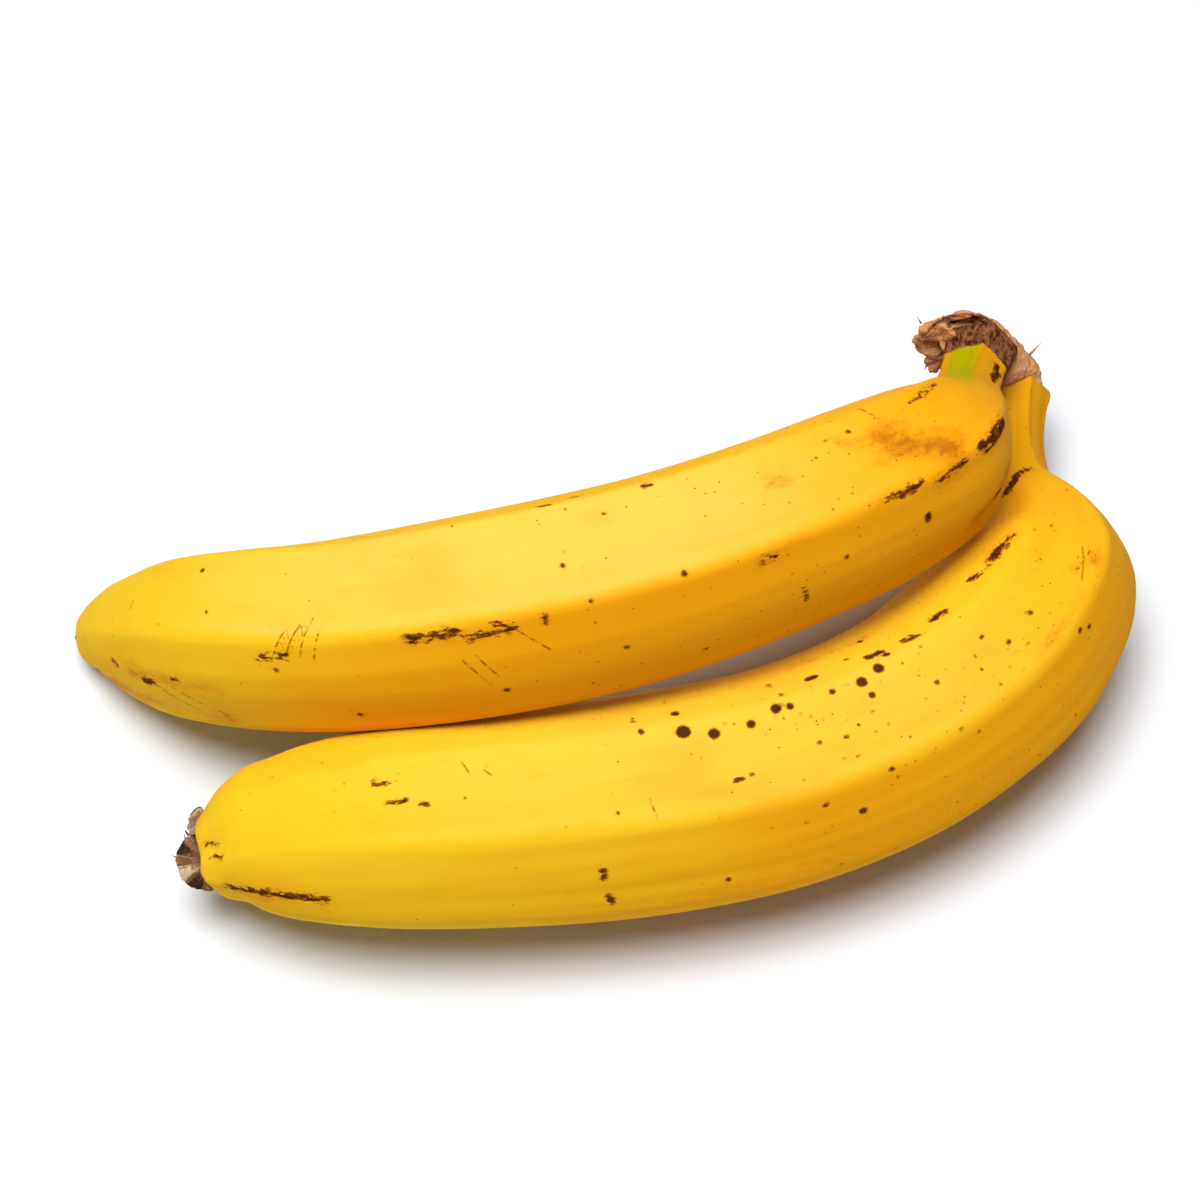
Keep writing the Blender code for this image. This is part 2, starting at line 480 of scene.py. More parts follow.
def unlikeness(turned, before):
    """How badly one ring's corners follow those of the ring before, by their places and their spacing."""
    apart = (turned - before + 180) % 360 - 180
    spacing = np.diff(turned) % 360 - np.diff(before) % 360
    return np.abs(apart).mean() + 6 * np.abs(spacing).mean()


def rings_of(solid):
    """The solid's rings of corners in millimetres, from tip to stem, each begun on the same ridge.

    Returns the corners as an array (ring, corner, xyz), with each pole as a ring shrunk to a point, and the
    angle of each corner in degrees, from straight up towards the outer side of the bend.
    """
    mesh = merged(solid)
    poles = [corner for corner in mesh.verts if len(corner.link_edges) == RING_CORNERS]
    found = [{min(poles, key=lambda corner: corner.co.x)}]
    met = set(found[0])
    while True:
        following = {edge.other_vert(corner) for corner in found[-1] for edge in corner.link_edges} - met
        if not following:
            break
        met |= following
        found.append(following)
    rings = [np.array([corner.co[:] for corner in ring]) / MM for ring in found]
    mesh.free()
    centres = np.array([ring.mean(axis=0) for ring in rings])
    tangents = np.gradient(centres, axis=0)
    corners = []
    angles = []
    for ring, centre, tangent in zip(rings[1:-1], centres[1:-1], tangents[1:-1]):
        outer = np.cross(tangent, (0, 0, 1))
        outer /= np.linalg.norm(outer)
        upper = np.cross(outer, tangent / np.linalg.norm(tangent))
        turned = np.degrees(np.arctan2((ring - centre) @ outer, (ring - centre) @ upper)) % 360
        order = np.argsort(turned)
        if corners:
            order = min(
                (np.roll(order, shift) for shift in range(RING_CORNERS)),
                key=lambda tried: unlikeness(turned[tried], angles[-1]),
            )
        turned = turned[order]
        turned = turned[0] + np.cumsum(np.concatenate([[0], np.diff(turned) % 360]))
        if angles:
            turned -= 360 * round((turned.mean() - angles[-1].mean()) / 360)
        corners.append(ring[order])
        angles.append(turned)
    first, last = (np.repeat(ring, RING_CORNERS, axis=0) for ring in (rings[0], rings[-1]))
    return np.array([first, *corners, last]), np.array([angles[0], *angles, angles[-1]])


def refined(values, steps, closed):
    """The rows of values with that many steps to each gap, on a smooth curve through them."""
    if closed:
        padded = np.concatenate([values[-1:], values, values[:2]])
    else:
        padded = np.concatenate([2 * values[:1] - values[1:2], values, 2 * values[-1:] - values[-2:-1]])
    rows = []
    for i in range(1, len(padded) - 2):
        a, b, c, d = padded[i - 1 : i + 3]
        for t in np.arange(steps) / steps:
            bend = (2 * a - 5 * b + 4 * c - d) * t**2 + (3 * (b - c) + d - a) * t**3
            rows.append(0.5 * (2 * b + (c - a) * t + bend))
    if not closed:
        rows.append(values[-1])
    return np.array(rows)


def smooth_step(values, low, high):
    """0 below low, 1 above high and smooth between."""
    share = np.clip((values - low) / (high - low), 0, 1)
    return share * share * (3 - 2 * share)


class Skin:
    """A fine skin over a banana's solid.

    Its corners are an array (ring, around, xyz) in millimetres. Others say where each corner is: its place
    along the fruit, its degrees around it, and the fruit's radius there.
    """

    def __init__(self, solid):
        corners, angles = rings_of(solid)
        centres = corners.mean(axis=1)
        places = np.concatenate([[0], np.cumsum(np.linalg.norm(np.diff(centres, axis=0), axis=1))])
        self.corners = refined(corners, RINGS_TO_A_GAP, False)
        turned = refined(angles, RINGS_TO_A_GAP, False)
        self.corners = refined(self.corners.swapaxes(0, 1), CORNERS_TO_A_GAP, True).swapaxes(0, 1)
        turned = np.concatenate([turned, turned[:, :1] + 360], axis=1)
        steps = np.arange(RING_CORNERS * CORNERS_TO_A_GAP) / CORNERS_TO_A_GAP
        self.around = np.array([np.interp(steps, np.arange(RING_CORNERS + 1), row) for row in turned])
        rings = np.arange(len(self.corners)) / RINGS_TO_A_GAP
        columns = np.ones(self.around.shape[1])
        self.along = np.outer(np.interp(rings, np.arange(len(places)), places), columns)
        self.length = places[-1]
        middle = self.corners.mean(axis=1, keepdims=True)
        self.radius = np.outer(np.linalg.norm(self.corners - middle, axis=2).mean(axis=1), columns)
        self.attributes = {}
        self.measure()

    def measure(self):
        """Finds each corner's outward direction."""
        lengthwise = np.gradient(self.corners, axis=0)
        wrapped = np.concatenate([self.corners[:, -1:], self.corners, self.corners[:, :1]], axis=1)
        across = (wrapped[:, 2:] - wrapped[:, :-2]) / 2
        outward = np.cross(across, lengthwise)
        middle = self.corners.mean(axis=1, keepdims=True)
        outward *= np.sign((outward * (self.corners - middle)).sum(axis=2).mean())
        self.outward = outward / np.maximum(np.linalg.norm(outward, axis=2, keepdims=True), 1e-9)

    @property
    def straight(self):
        """Where each corner would be on the fruit straightened along Z, so that patterns follow it."""
        turn = np.radians(self.around)
        return np.stack([self.radius * np.cos(turn), self.radius * np.sin(turn), self.along], axis=2)

    def raised(self, height):
        """Moves each corner outwards by that height in millimetres."""
        self.corners = self.corners + self.outward * height[:, :, None]

    def cloud(self, size, stretch=1.0, seed=0):
        """Smooth noise over the skin, from -1 to 1, with features of that size."""
        places = self.straight / (size * np.array([1, 1, stretch])) + seed * 17.3
        return np.array([noise.noise(place) for place in places.reshape(-1, 3)]).reshape(self.along.shape)

    def across_and_along(self, stroke):
        """Each corner's signed distance from a stroke's line, and how far it is past the stroke's ends."""
        along, around, to_along, to_around = stroke[:4]
        turn = np.radians((self.around - around + 180) % 360 - 180) * self.radius
        reach = np.array([to_along - along + 1e-6, math.radians(to_around - around) * self.radius_at(along)])
        length = np.linalg.norm(reach)
        reach /= length
        forward = (self.along - along) * reach[0] + turn * reach[1]
        sideways = turn * reach[0] - (self.along - along) * reach[1]
        return sideways, forward - np.clip(forward, 0, length)

    def radius_at(self, along):
        """The fruit's mean radius at that place along it."""
        return float(np.interp(along, self.along[:, 0], self.radius[:, 0]))

    def depth_in(self, strokes):
        """How far inside the nearest stroke each corner lies, and how ragged that stroke is."""
        best = np.full(self.along.shape, -FAR)
        ragged = np.zeros(self.along.shape)
        for stroke in strokes:
            depth = stroke[4] - np.hypot(*self.across_and_along(stroke))
            closer = depth > best
            best[closer] = depth[closer]
            if len(stroke) > 5:
                ragged[closer] = stroke[5]
        return best, ragged

    def made(self, name):
        """The skin as an object: a sheet rolled round the fruit, its seam and its poles welded."""
        rings, around = self.around.shape
        mesh = bmesh.new()
        bmesh.ops.create_grid(mesh, x_segments=around, y_segments=rings - 1, size=1.0)
        cell = mesh.verts.layers.int.new("cell")
        places = self.corners * MM
        for number, corner in enumerate(mesh.verts):
            ring, column = divmod(number, around + 1)
            column %= around
            corner.co = places[ring, column]
            corner[cell] = ring * around + column
        bmesh.ops.remove_doubles(mesh, verts=mesh.verts, dist=SEAM)
        bmesh.ops.recalc_face_normals(mesh, faces=mesh.faces)
        data = bpy.data.meshes.new(name)
        mesh.to_mesh(data)
        mesh.free()
        data.shade_smooth()
        cells = np.empty(len(data.vertices), dtype=np.int32)
        data.attributes["cell"].data.foreach_get("value", cells)
        data.attributes.remove(data.attributes["cell"])
        for label, values in self.attributes.items():
            flat = values.reshape(rings * around, -1)[cells].astype(np.float32)
            kind = "FLOAT" if flat.shape[1] == 1 else "FLOAT_VECTOR"
            layer = data.attributes.new(label, kind, "POINT")
            layer.data.foreach_set("value" if kind == "FLOAT" else "vector", flat.ravel())
        return placed(name, data)


def placed(name, data):
    """A mesh as an object in the scene."""
    piece = bpy.data.objects.new(name, data)
    bpy.context.scene.collection.objects.link(piece)
    return piece


def scattered_spots(side, count, look):
    """Small round spots over the whole fruit, thickest on the upper side of its stem half."""
    draw = random.Random(side)
    least, most = SPOT_RADIUS
    spots = []
    for _ in range(count):
        gathered = draw.random() < look.speckling
        along = draw.gauss(SPOTTED_MIDDLE[0], SPOTTED_SPREAD[0]) if gathered else draw.uniform(20, 180)
        gathered = draw.random() < look.speckling
        around = draw.gauss(SPOTTED_MIDDLE[1], SPOTTED_SPREAD[1]) if gathered else draw.uniform(-180, 180)
        spots.append((along, around, least + (most - least) * draw.random() ** 3))
    return spots


def scratched(skin, strokes):
    """How far each corner is across, past the end of and away from its nearest scratch."""
    nearest = np.full(skin.along.shape, FAR)
    found = np.full((*skin.along.shape, 3), FAR)
    for stroke in strokes:
        across, past = skin.across_and_along(stroke)
        away = np.hypot(across, past)
        closer = away < nearest
        nearest[closer] = away[closer]
        found[closer] = np.stack([across, past, away], axis=2)[closer]
    return found


def shaped(skin, side, look, depth, ragged, dry):
    """Raises the skin into swellings, ribs, ridges and scabs, and wears its two ends to shape."""
    stem = smooth_step(skin.along, *STEM_SPAN)
    tip = smooth_step(skin.along, *TIP_SPAN)
    relief = skin.cloud(*SWELLINGS) * look.undulation
    relief += skin.cloud(*DIMPLES) * look.undulation * DIMPLE_SHARE
    relief += skin.cloud(*RIBS) * (STEM_RIB_HEIGHT * stem + RIB_HEIGHT)
    relief += skin.cloud(*WRINKLES) * WRINKLE_HEIGHT * tip
    relief += DRY_HEIGHT * smooth_step(dry, 0, 0.9)
    relief += SCAB_HEIGHT * smooth_step(depth, -0.1, 0.5) * ragged
    for ridge in RIDGES[side]:
        away = (skin.around - ridge + 180) % 360 - 180
        line = np.exp(-((away / RIDGE_WIDTH) ** 2)) * smooth_step(skin.along, 12, 40) * (1 - stem)
        relief += look.ridges * line
    skin.raised(relief)

    tipward = skin.corners[0, 0] - skin.corners[12].mean(axis=0)
    tipward /= np.linalg.norm(tipward)
    if side == "lower":  # the upper side of the tip has withered away
        worn = smooth_step(np.cos(np.radians(skin.around + 20)), 0.2, 0.9) * smooth_step(skin.along, 12, 3)
        skin.raised(-WORN_DEPTH * worn)
    sunk = 1.0 - smooth_step(np.linalg.norm(skin.corners - skin.corners[0, 0], axis=2), 3.0, 6.0)
    skin.corners = skin.corners - tipward * (sunk * DENT[side])[:, :, None]
    if side == "upper":  # its stem reaches into the shrunken crown
        onward = (skin.corners[-1, 0] - skin.corners[-60].mean(axis=0)) / 30
        drawn = STEM_DRAWN * smooth_step(skin.along, 197, 209)
        skin.corners = skin.corners + onward * drawn[:, :, None]
    skin.corners[:, :, 2] = np.maximum(skin.corners[:, :, 2], LEAST_HEIGHT)
    skin.measure()


def marked(skin, side, look):
    """Shapes the skin and writes on it where it is marked, ripe, green or dry, and where shade and a
    highlight are painted.
    """
    scabs = list(SCABS[side])
    for along, around, size in SPOTS[side] + scattered_spots(side, SCATTERED[side], look):
        scabs.append((along, around, along, around, size, SPOT_ROUGHNESS))
    depth, ragged = skin.depth_in(scabs)
    bruise, _ = skin.depth_in(BRUISES[side])
    scratch = scratched(skin, SCRATCHES[side])
    dry = skin.along - DRY_FROM[side] + TORN_REACH * skin.cloud(*TORN_EDGE)
    shaped(skin, side, look, depth, ragged, dry)

    stem = smooth_step(skin.along, *STEM_SPAN)
    green = 0.35 * stem
    if side == "upper":  # only one face of this stem is still green
        round_stem = (skin.around + 85) % 360
        green = stem * smooth_step(round_stem, 0, 45) * smooth_step(round_stem, 108, 72)
    up = skin.outward[:, :, 2]
    turned = (skin.around + 180) % 360 - 180
    outer = smooth_step(turned, 30, 44) * smooth_step(turned, 175, 140)
    orange = smooth_step(skin.along, 10, 150) * ORANGE[side]
    # Painted shade: the faces turned down are painted more orange.
    orange += (0.15 + 0.6 * smooth_step(skin.along, 30, 120)) * smooth_step(up, 0.7, 0.1)
    orange += 0.35 * smooth_step(skin.along, 150, 188)
    orange += 0.3 * outer * smooth_step(skin.along, 20, 100)
    # Painted highlight: the faces turned up, on the top side, are painted paler.
    pale = smooth_step(up, 0.62, 1.0) * smooth_step(turned, 42, 28) * TOP_HIGHLIGHT[side]
    pale *= smooth_step(skin.along, 5, 55) * smooth_step(skin.along, 172, 120)
    skin.attributes = {
        "straight": skin.straight * MM,
        "mark": np.stack([depth, ragged, bruise], axis=2),
        "scratch": scratch,
        "ripeness": np.stack([skin.along / skin.length, green, dry], axis=2),
        "orange": orange,
        "pale": pale,
    }


def peel_material(look):
    """Banana peel: a thin waxy skin over soft pale flesh, grown with fine fibres along the fruit.

    Light sinks in and comes back orange, so the shaded sides glow, and the faces turned down are also
    painted orange as shade, with the top painted paler as a highlight. Where the skin is bruised or
    scratched it dries to brown, and the wax gives a broad, faint sheen.
    """
    made, tree, shader = new_material("ripe banana peel, grown")
    straight, mark, scratch, ripeness = (
        add_node(tree, "Attribute", output=1, attribute_name=name)
        for name in ("straight", "mark", "scratch", "ripeness")
    )
    orange, pale = (
        add_node(tree, "Attribute", output=2, attribute_name=name) for name in ("orange", "pale")
    )
    depth, ragged, bruise = (add_node(tree, "SeparateXYZ", {0: mark}, i) for i in range(3))
    across, past, away = (add_node(tree, "SeparateXYZ", {0: scratch}, i) for i in range(3))
    along, green, dry = (add_node(tree, "SeparateXYZ", {0: ripeness}, i) for i in range(3))

    cloud = {}
    uneven = {}  # the same clouds, about zero
    for name, (size, stretch, detail, roughness) in PEEL_NOISES.items():
        place = add_node(tree, "VectorMath", {0: straight, 1: (1.0, 1.0, 1 / stretch)}, **TIMES)
        inputs = {"Vector": place, "Scale": 1 / (size * MM), "Detail": detail, "Roughness": roughness}
        cloud[name] = add_node(tree, "TexNoise", inputs)
        uneven[name] = add_node(tree, "Math", {0: cloud[name], 1: 0.5}, operation="SUBTRACT")
    cell = {"Vector": straight, "Scale": 1 / (SPECK_SPACING * MM)}
    bruised = weighed(tree, bruise, [(uneven["blotches"], 8.0), (uneven["grit"], 8.0)])
    hold = weighed(tree, 0.4, [(ragged, 5.5)])
    edge = add_node(tree, "Math", {0: uneven["frayed"], 1: hold, 2: depth}, **TIMES_PLUS)
    wavering = weighed(tree, across, [(uneven["grit"], 0.2)])

    # What each share is read from, the two values between which it changes, and its least and most.
    spans = {
        # Orange: ripening towards the stem, and painted shade on the faces turned down.
        "orange": (weighed(tree, orange, [(uneven["clouds"], 0.8)]), 0.0, 1.0, 0.0, 1.0),
        # A painted highlight: paler peel on the top faces.
        "painted_highlight": (weighed(tree, pale, [(uneven["clouds"], 0.6)]), 0.0, 1.0, 0.0, 0.8),
        "cloudy": (cloud["clouds"], 0.5, 0.75, 0.0, 0.35),
        "blotchy": (cloud["blotches"], 0.5, 0.8, 0.0, 0.22),
        "streaky": (cloud["fibres"], 0.5, 0.75, 0.0, 0.1),
        "tan": (along, 0.84, 0.95, 0.0, 0.75),
        "green": (weighed(tree, green, [(cloud["blotches"], 0.3)]), 0.4, 1.15, 0.0, 0.85),
        "rubbed": (bruised, -0.8, 4.2, 0.0, 0.62),
        "browned": (bruised, 2.0, 5.0, 0.0, 0.4),
        "speck": (add_node(tree, "TexVoronoi", cell), 0.13, 0.07, 0.0, 1.0),
        "crowded": (along, 0.35, 0.65, 0.05, 0.42),
        "line": (add_node(tree, "Math", {0: wavering}, operation="ABSOLUTE"), 0.24, 0.1, 0.0, 1.0),
        "within": (add_node(tree, "Math", {0: past}, operation="ABSOLUTE"), 0.6, 0.0, 0.0, 1.0),
        "near": (away, 0.75, 0.45, 0.0, 1.0),
        "broken": (cloud["grit"], 0.42, 0.54, 0.05, 0.8),
        "rim": (edge, -0.32, 0.05, 0.0, 0.6),
        "scab": (edge, -0.1, 0.14, 0.0, 0.92),
        "black": (weighed(tree, edge, [(ragged, -0.3)]), 0.0, 0.36, 0.0, 1.0),
        "torn": (weighed(tree, dry, [(uneven["grit"], 2.0)]), -0.15, 0.15, 0.0, 1.0),
        "crevice": (cloud["grit"], 0.6, 0.4, 0.0, 1.0),
    }
    share = {}
    for name, (value, low, high, least, most) in spans.items():
        share[name] = add_node(tree, "MapRange", {0: value, 1: low, 2: high, 3: least, 4: most}, **SMOOTH)

    # A speck is a tiny dark cell here and there, and a scratch is a hairline of dried sap.
    lot = add_node(tree, "SeparateColor", {0: add_node(tree, "TexVoronoi", cell, 1)})
    chosen = add_node(tree, "Math", {0: lot, 1: share["crowded"]}, operation="LESS_THAN")
    speck, hairline = share["speck"], share["line"]
    for factor in (chosen, SPECK_DARKNESS):
        speck = add_node(tree, "Math", {0: speck, 1: factor}, **TIMES)
    for name in ("within", "near", "broken"):
        hairline = add_node(tree, "Math", {0: hairline, 1: share[name]}, **TIMES)

    # Sound skin first, then bruises, specks, scratches, scabs with a rusty rim, and dry tissue by the crown.
    crust = layered(tree, tuple(look.scab), [(share["black"], linear(SCAB_BLACK))])
    dead = layered(tree, linear(DRY_BROWN), [(share["crevice"], linear(DRY_CREVICE))])
    layers = [
        # Orange is ripening towards the stem, and painted shade on the faces turned down.
        (share["orange"], tuple(look.orange)),
        # A painted highlight: the top faces are painted paler.
        (share["painted_highlight"], tuple(look.painted_highlight)),
        (share["cloudy"], linear(PEEL_AMBER)),
        (share["blotchy"], linear(PEEL_AMBER)),
        (share["streaky"], linear(PEEL_AMBER)),
        (share["tan"], linear(STEM_TAN)),
        (share["green"], tuple(look.green)),
        (share["rubbed"], tuple(look.bruise)),
        (share["browned"], linear(BRUISE_BROWN)),
        (speck, tuple(look.scab)),
        (hairline, linear(SCAB_RUST)),
        (share["rim"], linear(SCAB_RUST)),
        (share["scab"], crust),
        (share["torn"], dead),
    ]
    tree.links.new(layered(tree, tuple(look.lemon), layers), shader.inputs["Base Color"])

    rough = weighed(tree, 0.58, [(share["scab"], 0.25), (share["torn"], 0.3), (cloud["fibres"], 0.1)])
    tree.links.new(rough, shader.inputs["Roughness"])
    shader.inputs["IOR"].default_value = 1.42
    shader.inputs["Specular IOR Level"].default_value = 0.02  # dulled by its yellowish bloom of wax
    shader.inputs["Specular Tint"].default_value = linear(WAX_TINT)
    soft = weighed(tree, 0.3, [(share["scab"], -0.28), (share["torn"], -0.28)])
    tree.links.new(soft, shader.inputs["Subsurface Weight"])
    shader.inputs["Subsurface Radius"].default_value = (1.0, 0.35, 0.05)
    shader.inputs["Subsurface Scale"].default_value = 2.0 * MM

    dry_grit = add_node(tree, "Math", {0: share["torn"], 1: cloud["grit"]}, **TIMES)
    bumps = [
        (cloud["fibres"], 0.5),
        (cloud["pores"], 0.35),
        (cloud["blotches"], 1.2),
        (share["scab"], -0.5),
        (dry_grit, 4.0),
    ]
    bump = {"Strength": 0.5, "Distance": 0.12 * MM, "Height": weighed(tree, 0.0, bumps)}
    tree.links.new(add_node(tree, "Bump", bump), shader.inputs["Normal"])
    return made


# --- The crown and the withered flowers --------------------------------------------------------------------


def crumpled(mesh, octaves, drawn=(1, 1, 1)):
    """Moves each corner along its normal by noise of those sizes and heights, in millimetres.

    The noise is drawn out along the axes as given. Returns how far each corner moved.
    """
    mesh.normal_update()
    heights = []
    for corner in mesh.verts:
        place = Vector(a / b / MM for a, b in zip(corner.co, drawn))
        heights.append(sum(height * noise.noise(place / size) for size, height in octaves))
    for corner, height in zip(mesh.verts, heights):
        corner.co += corner.normal * height * MM
    return heights


def finished(name, mesh, relief, material):
    """The bmesh as a smooth piece, with its relief in millimetres kept for its material."""
    data = bpy.data.meshes.new(name)
    bmesh.ops.recalc_face_normals(mesh, faces=mesh.faces)
    mesh.to_mesh(data)
    mesh.free()
    data.shade_smooth()
    data.attributes.new("relief", "FLOAT", "POINT").data.foreach_set("value", relief)
    data.materials.append(material)
    return placed(name, data)


def torn_sheet(mesh, corners, thickness):
    """Adds a sheet between four corners, its rim torn and its middle buckled."""
    made = bmesh.ops.create_grid(mesh, x_segments=SHEET_CELLS, y_segments=SHEET_CELLS, size=1.0)
    a, b, c, d = (Vector(corner) for corner in corners)
    outward = (b - a).cross(d - a).normalized()
    for corner in made["verts"]:
        u, v = (corner.co.x + 1) / 2, (corner.co.y + 1) / 2
        place = a.lerp(b, u).lerp(d.lerp(c, u), v)
        rim = max(abs(corner.co.x), abs(corner.co.y)) ** 4
        tear = (noise.noise(place / 1.1) + noise.noise(place / 2.4)) * rim * 1.5
        middle = (a + b + c + d) / 4
        place += (place - middle).normalized() * tear + outward * noise.noise(place / 3.5) * 1.1
        corner.co = place * MM
    faces = list({face for corner in made["verts"] for face in corner.link_faces})
    bmesh.ops.recalc_face_normals(mesh, faces=faces)
    bmesh.ops.solidify(mesh, geom=faces, thickness=thickness * MM)


def fibre(mesh, foot, end, radius):
    """Adds a loose fibre between two points in millimetres, thinning to nothing much."""
    foot, end = Vector(foot) * MM, Vector(end) * MM
    lean = end - foot
    radius *= MM
    made = bmesh.ops.create_cone(
        mesh, cap_ends=True, segments=6, radius1=radius, radius2=radius * 0.15, depth=lean.length
    )
    bmesh.ops.rotate(mesh, verts=made["verts"], matrix=lean.to_track_quat("Z", "Y").to_matrix())
    bmesh.ops.translate(mesh, verts=made["verts"], vec=(foot + end) / 2)


def dry_material(name, crevice, middle, pale, grain):
    """Dead plant tissue, dried hard and fibrous.

    It has hardly any gloss. Painted shade darkens it down in its folds, and a painted highlight pales what
    stands out.
    """
    made, tree, shader = new_material(name)
    relief = add_node(tree, "Attribute", output=2, attribute_name="relief")
    place = add_node(tree, "TexCoord", output="Object")
    drawn = add_node(tree, "VectorMath", {0: place, 1: (1.0, 0.45, 1.6)}, **TIMES)
    # A fibre is about 0.2 mm thick, drawn coarser so that it shows.
    grown = {"Vector": drawn, "Scale": 1 / (grain * MM), "Detail": 5.0, "Roughness": 0.75, "Distortion": 0.6}
    flecks = add_node(tree, "TexNoise", {"Vector": place, "Scale": 1 / (0.5 * MM), "Detail": 3.0})
    high = weighed(tree, relief, [(add_node(tree, "TexNoise", grown), 2.2)])
    amounts = []
    # The crevice colour is painted shade where the relief is low, the pale one a painted highlight where it
    # is high; the flecks are the tissue's own.
    for value, low, top, most in ((high, 0.9, 0.4, 0.9), (high, 1.1, 1.7, 0.85), (flecks, 0.6, 0.74, 0.4)):
        span = {0: value, 1: low, 2: top, 3: 0.0, 4: most}
        amounts.append(add_node(tree, "MapRange", span, **SMOOTH))
    layers = zip(amounts, (tuple(crevice), tuple(pale), tuple(crevice)))
    tree.links.new(layered(tree, tuple(middle), layers), shader.inputs["Base Color"])
    shader.inputs["Roughness"].default_value = 0.92
    shader.inputs["IOR"].default_value = 1.4
    shader.inputs["Specular IOR Level"].default_value = 0.25
    bump = {"Strength": 0.8, "Distance": 0.3 * MM, "Height": high}
    tree.links.new(add_node(tree, "Bump", bump), shader.inputs["Normal"])
    return made


def flower_cup(mesh, radius):
    """Adds a withered flower of that radius in millimetres, standing on the origin: a ragged hollow cup.

    Returns its relief, which is low in the hollow and high on the rim.
    """
    size = radius * MM
    section = refined(np.array(FLOWER_SECTION), 4, False)
    line = [mesh.verts.new((x * size, 0, z * size * FLOWER_FLATNESS)) for x, z in section]
    line.append(mesh.verts.new((0, 0, -0.1 * size)))
    line.append(mesh.verts.new(line[0].co))
    edges = [mesh.edges.new(pair) for pair in zip(line, line[1:])]
    turn = {"cent": (0, 0, 0), "axis": (0, 0, 1), "angle": math.tau}
    bmesh.ops.spin(mesh, geom=line + edges, steps=SPIN_STEPS, use_duplicate=False, **turn)
    bmesh.ops.remove_doubles(mesh, verts=mesh.verts, dist=WELD)
    relief = []
    for corner in mesh.verts:
        rise = max(corner.co.z, 0.0)
        spread = corner.co.to_2d().normalized().to_3d()
        ragged = noise.noise(spread * 2.6 + Vector((radius, 0, 0))) + 0.6 * noise.noise(spread * 9)
        corner.co.z += rise * ragged * 1.5
        corner.co += spread * rise * 0.9 * noise.noise(spread * 4 + Vector((0, radius, 0)))
        out, high = corner.co.to_2d().length / size, corner.co.z / size / FLOWER_FLATNESS
        rim = max(smooth_step(out, 0.78, 0.92), smooth_step(high, 0.2, 0.4))
        relief.append(0.8 * rim + 0.5 * smooth_step(high, 0.22, 0.5) - 0.8)
    return relief


def loose_strand(mesh, radius, draw):
    """Adds a loose fibre to the rim of a flower of that radius in millimetres."""
    angle = draw.uniform(0, math.tau)
    x, y = math.cos(angle), math.sin(angle)
    foot = Vector((x, y, 0.25)) * radius * 0.9
    stray = Vector((draw.uniform(-0.6, 0.6), draw.uniform(-0.6, 0.6), 0))
    lean = (Vector((x * 0.7, y * 0.7, 0.8)) + stray).normalized()
    fibre(mesh, foot, foot + lean * draw.uniform(1.0, 2.6), 0.25)


# --- The operators -----------------------------------------------------------------------------------------


class BANANA_OT_fruit(bpy.types.Operator):
    """Stretches a fine marked skin over each banana's solid"""

    bl_idname = "banana.fruit"
    bl_label = "Bananas"

    def execute(self, context):
        look = context.scene.banana_fruit_look
        peel = peel_material(look)
        for side in SIDES:
            skin = Skin(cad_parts[side + "_banana"])
            marked(skin, side, look)
            piece = skin.made(side + "_banana_skin")
            piece.data.materials.append(peel)
            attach(piece, "root")
            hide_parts(side + "_banana")
        return {"FINISHED"}


class BANANA_OT_crown(bpy.types.Operator):
    """Tears and crumples a copy of the crown's solid"""

    bl_idname = "banana.crown"
    bl_label = "Crown"

    def execute(self, context):
        look = context.scene.banana_dry_look
        mesh = merged(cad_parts["crown"])
        for corner in mesh.verts:  # it has shrunk back from the upper stem and slumped over the lower one
            x, y, z = corner.co / MM
            corner.co.y += 4.4 * MM * smooth_step(x, 74, 69) * smooth_step(y, 57.5, 51)
            corner.co.z -= 3.4 * MM * smooth_step(x, 72, 76) * smooth_step(z, 14, 22)
        for corners, thickness in CROWN_SHEETS:
            torn_sheet(mesh, corners, thickness)
        data = bpy.data.meshes.new("rough crown")
        mesh.to_mesh(data)
        mesh.free()
        rough = placed("rough crown", data)
        remesh = rough.modifiers.new("one skin", "REMESH")
        remesh.mode = "VOXEL"
        remesh.voxel_size = look.crown_grain
        mesh = bmesh.new()
        mesh.from_object(rough, context.evaluated_depsgraph_get())
        bpy.data.objects.remove(rough)
        relief = crumpled(mesh, CROWN_OCTAVES, (1.5, 1.0, 0.7))
        for foot, end, radius in CROWN_FIBRES:
            fibre(mesh, foot, end, radius)
        relief += [0.3] * (len(mesh.verts) - len(relief))
        colours = (look.crown_crevice, look.crown_middle, look.crown_pale)
        tissue = dry_material("dead crown tissue, dried", *colours, CROWN_GRAIN)
        piece = finished("crown_tissue", mesh, relief, tissue)
        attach(piece, "root")
        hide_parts("crown")
        return {"FINISHED"}


